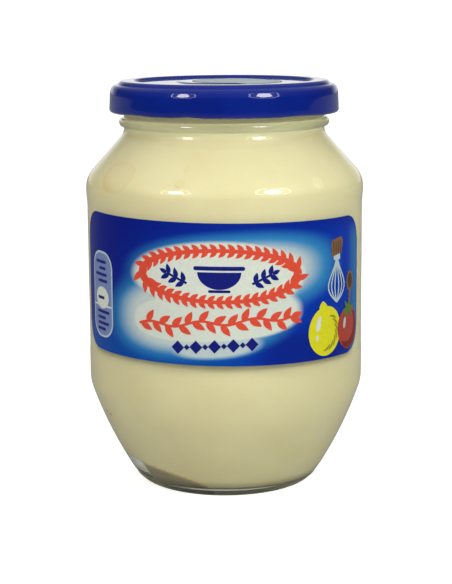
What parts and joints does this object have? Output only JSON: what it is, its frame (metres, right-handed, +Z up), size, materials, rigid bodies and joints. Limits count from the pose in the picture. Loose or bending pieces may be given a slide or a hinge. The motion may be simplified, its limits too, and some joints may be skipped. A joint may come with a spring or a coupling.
{
  "type": "mayonnaise jar",
  "caption": "Barrel-shaped clear glass jar filled with mayonnaise, with a twist-off steel lid, a sealing ring and a curved paper label on its front.",
  "frame": {"origin": "centre of the jar's standing ring, on the plane it stands on", "axes": "+Z up along the jar's axis, -Y towards the front, where the label is, +X to the right seen from the front"},
  "size_m": [0.0848, 0.0848, 0.1235],
  "materials": {
    "glass": "clear flint glass, fire-polished",
    "mayonnaise": "pale cream, soft sheen",
    "label_paper": "glossy printed paper, blue",
    "lid_enamel": "glossy blue enamel on steel sheet",
    "liner": "off-white sealing compound"
  },
  "bodies": {
    "root": {"glass_jar": "glass", "mayonnaise": "mayonnaise", "label": "label_paper", "lid": "lid_enamel", "sealing_ring": "liner"}
  },
  "joints": []
}
